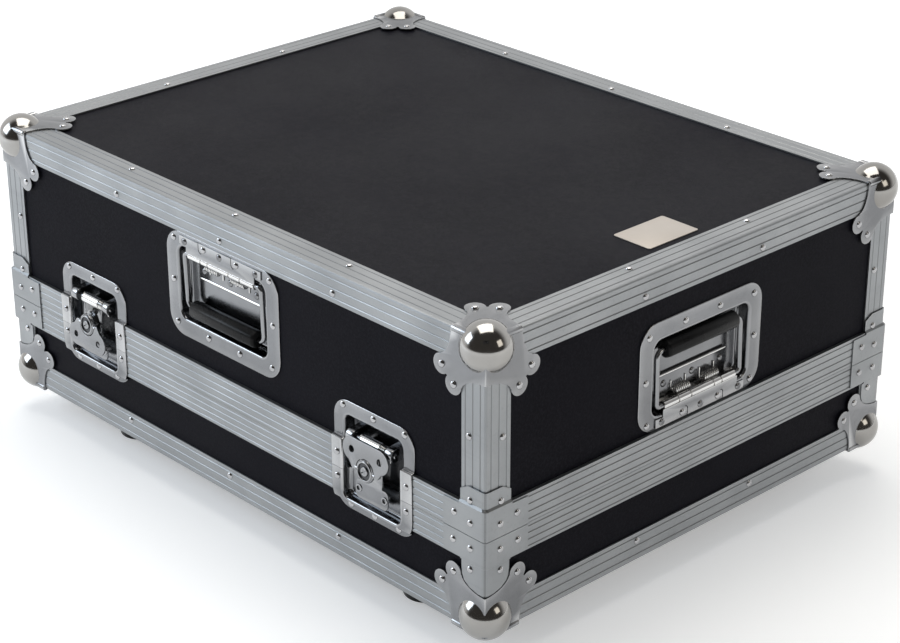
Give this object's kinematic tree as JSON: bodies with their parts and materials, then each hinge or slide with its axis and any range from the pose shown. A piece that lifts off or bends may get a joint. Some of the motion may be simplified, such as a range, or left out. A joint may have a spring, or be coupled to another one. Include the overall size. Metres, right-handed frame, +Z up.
{
  "type": "mixer flight case",
  "caption": "Black panelled equipment case with ribbed aluminium edges, ball corners, recessed butterfly latches, sprung handles and a lift-off lid.",
  "frame": {"origin": "on the floor under the middle of the case, midway between its sides and its long faces", "axes": "+X along the case's width to its right-hand end, -Y out of the front face with two latches and one handle, +Z up"},
  "size_m": [0.7464, 0.5858, 0.3392],
  "materials": {
    "laminate": "matt black laminate on plywood, very finely textured",
    "extrusion": "satin anodised, ribbed",
    "zinc": "bright zinc plated pressed steel",
    "chrome": "bright plated steel",
    "rubber": "matt black",
    "foam": "charcoal open-cell foam"
  },
  "bodies": {
    "base": {"base_frame": "extrusion", "base_bottom_panel": "laminate", "base_front_panel": "laminate", "base_rear_panel": "laminate", "base_left_panel": "laminate", "base_right_panel": "laminate", "base_foam": "foam", "base_corner_front_left": "chrome", "foot_front_left": "rubber", "base_corner_front_right": "chrome", "foot_front_right": "rubber", "base_corner_rear_left": "chrome", "foot_rear_left": "rubber", "base_corner_rear_right": "chrome", "foot_rear_right": "rubber", "latch_front_left_base_dish": "zinc", "latch_front_right_base_dish": "zinc", "latch_rear_left_base_dish": "zinc", "latch_rear_right_base_dish": "zinc"},
    "lid": {"lid_edge_extrusions": "extrusion", "lid_closing_frame": "extrusion", "lid_top_panel": "laminate", "lid_front_panel": "laminate", "lid_rear_panel": "laminate", "lid_left_panel": "laminate", "lid_right_panel": "laminate", "lid_foam": "foam", "lid_corner_front_left": "chrome", "lid_corner_front_right": "chrome", "lid_corner_rear_left": "chrome", "lid_corner_rear_right": "chrome", "latch_front_left_lid_dish": "zinc", "latch_front_right_lid_dish": "zinc", "latch_rear_left_lid_dish": "zinc", "latch_rear_right_lid_dish": "zinc", "handle_front_dish": "zinc", "handle_right_dish": "zinc", "handle_left_dish": "zinc"},
    "latch_front_left_swing": {"latch_front_left_carrier": "zinc"},
    "latch_front_left_hook": {"latch_front_left_hook": "zinc"},
    "latch_front_left_rotor": {"latch_front_left_rotor": "chrome"},
    "latch_front_left_wing": {"latch_front_left_wing": "zinc"},
    "latch_front_right_swing": {"latch_front_right_carrier": "zinc"},
    "latch_front_right_hook": {"latch_front_right_hook": "zinc"},
    "latch_front_right_rotor": {"latch_front_right_rotor": "chrome"},
    "latch_front_right_wing": {"latch_front_right_wing": "zinc"},
    "latch_rear_left_swing": {"latch_rear_left_carrier": "zinc"},
    "latch_rear_left_hook": {"latch_rear_left_hook": "zinc"},
    "latch_rear_left_rotor": {"latch_rear_left_rotor": "chrome"},
    "latch_rear_left_wing": {"latch_rear_left_wing": "zinc"},
    "latch_rear_right_swing": {"latch_rear_right_carrier": "zinc"},
    "latch_rear_right_hook": {"latch_rear_right_hook": "zinc"},
    "latch_rear_right_rotor": {"latch_rear_right_rotor": "chrome"},
    "latch_rear_right_wing": {"latch_rear_right_wing": "zinc"},
    "handle_front": {"handle_front_bail": "zinc", "handle_front_grip": "rubber"},
    "handle_right": {"handle_right_bail": "zinc", "handle_right_grip": "rubber"},
    "handle_left": {"handle_left_bail": "zinc", "handle_left_grip": "rubber"}
  },
  "joints": [
    {"name": "lid_lift", "type": "slide", "parent": "base", "child": "lid", "axis": [0, 0, 1], "range_m": [0, 0.15]},
    {"name": "latch_front_left_swing", "type": "hinge", "parent": "lid", "child": "latch_front_left_swing", "pos_m": [-0.2165, -0.2805, 0.1745], "axis": [1, 0, 0], "range_deg": [-25, 3.5], "stiffness_Nm_per_rad": 2},
    {"name": "latch_front_left_turn", "type": "hinge", "parent": "latch_front_left_swing", "child": "latch_front_left_rotor", "pos_m": [-0.2165, -0.2815, 0.15002], "axis": [0, -0.9981, 0.061], "range_deg": [0, 180]},
    {"name": "latch_front_left_draw", "type": "slide", "parent": "latch_front_left_swing", "child": "latch_front_left_hook", "axis": [0, 0.061, 0.9981], "range_m": [0, 0.0049]},
    {"name": "latch_front_left_flip", "type": "hinge", "parent": "latch_front_left_rotor", "child": "latch_front_left_wing", "pos_m": [-0.2165, -0.29018, 0.15055], "axis": [1, 0, 0], "range_deg": [-180, 0]},
    {"name": "latch_front_right_swing", "type": "hinge", "parent": "lid", "child": "latch_front_right_swing", "pos_m": [0.2165, -0.2805, 0.1745], "axis": [1, 0, 0], "range_deg": [-25, 3.5], "stiffness_Nm_per_rad": 2},
    {"name": "latch_front_right_turn", "type": "hinge", "parent": "latch_front_right_swing", "child": "latch_front_right_rotor", "pos_m": [0.2165, -0.2815, 0.15002], "axis": [0, -0.9981, 0.061], "range_deg": [0, 180]},
    {"name": "latch_front_right_draw", "type": "slide", "parent": "latch_front_right_swing", "child": "latch_front_right_hook", "axis": [0, 0.061, 0.9981], "range_m": [0, 0.0049]},
    {"name": "latch_front_right_flip", "type": "hinge", "parent": "latch_front_right_rotor", "child": "latch_front_right_wing", "pos_m": [0.2165, -0.29018, 0.15055], "axis": [1, 0, 0], "range_deg": [0, 180]},
    {"name": "latch_rear_left_swing", "type": "hinge", "parent": "lid", "child": "latch_rear_left_swing", "pos_m": [-0.2165, 0.2805, 0.1745], "axis": [-1, 0, 0], "range_deg": [-25, 3.5], "stiffness_Nm_per_rad": 2},
    {"name": "latch_rear_left_turn", "type": "hinge", "parent": "latch_rear_left_swing", "child": "latch_rear_left_rotor", "pos_m": [-0.2165, 0.2815, 0.15002], "axis": [0, 0.9981, 0.061], "range_deg": [0, 180]},
    {"name": "latch_rear_left_draw", "type": "slide", "parent": "latch_rear_left_swing", "child": "latch_rear_left_hook", "axis": [0, -0.061, 0.9981], "range_m": [0, 0.0049]},
    {"name": "latch_rear_left_flip", "type": "hinge", "parent": "latch_rear_left_rotor", "child": "latch_rear_left_wing", "pos_m": [-0.2165, 0.29018, 0.15055], "axis": [-1, 0, 0], "range_deg": [0, 180]},
    {"name": "latch_rear_right_swing", "type": "hinge", "parent": "lid", "child": "latch_rear_right_swing", "pos_m": [0.2165, 0.2805, 0.1745], "axis": [-1, 0, 0], "range_deg": [-25, 3.5], "stiffness_Nm_per_rad": 2},
    {"name": "latch_rear_right_turn", "type": "hinge", "parent": "latch_rear_right_swing", "child": "latch_rear_right_rotor", "pos_m": [0.2165, 0.2815, 0.15002], "axis": [0, 0.9981, 0.061], "range_deg": [0, 180]},
    {"name": "latch_rear_right_draw", "type": "slide", "parent": "latch_rear_right_swing", "child": "latch_rear_right_hook", "axis": [0, -0.061, 0.9981], "range_m": [0, 0.0049]},
    {"name": "latch_rear_right_flip", "type": "hinge", "parent": "latch_rear_right_rotor", "child": "latch_rear_right_wing", "pos_m": [0.2165, 0.29018, 0.15055], "axis": [-1, 0, 0], "range_deg": [-180, 0]},
    {"name": "handle_front_swing", "type": "hinge", "parent": "lid", "child": "handle_front", "pos_m": [0, -0.2772, 0.2772], "axis": [-1, 0, 0], "range_deg": [0, 90], "stiffness_Nm_per_rad": 0.25, "springref_deg": -20.05},
    {"name": "handle_right_swing", "type": "hinge", "parent": "lid", "child": "handle_right", "pos_m": [0.3602, 0, 0.1868], "axis": [0, 1, 0], "range_deg": [0, 90], "stiffness_Nm_per_rad": 0.25, "springref_deg": -20.05},
    {"name": "handle_left_swing", "type": "hinge", "parent": "lid", "child": "handle_left", "pos_m": [-0.3602, 0, 0.1868], "axis": [0, -1, 0], "range_deg": [0, 90], "stiffness_Nm_per_rad": 0.25, "springref_deg": -20.05}
  ],
  "couplings": [
    {"joint": "latch_front_left_turn", "follows": "latch_front_left_draw", "rad_per_m": 641.13},
    {"joint": "latch_front_right_turn", "follows": "latch_front_right_draw", "rad_per_m": 641.13},
    {"joint": "latch_rear_left_turn", "follows": "latch_rear_left_draw", "rad_per_m": 641.13},
    {"joint": "latch_rear_right_turn", "follows": "latch_rear_right_draw", "rad_per_m": 641.13}
  ]
}
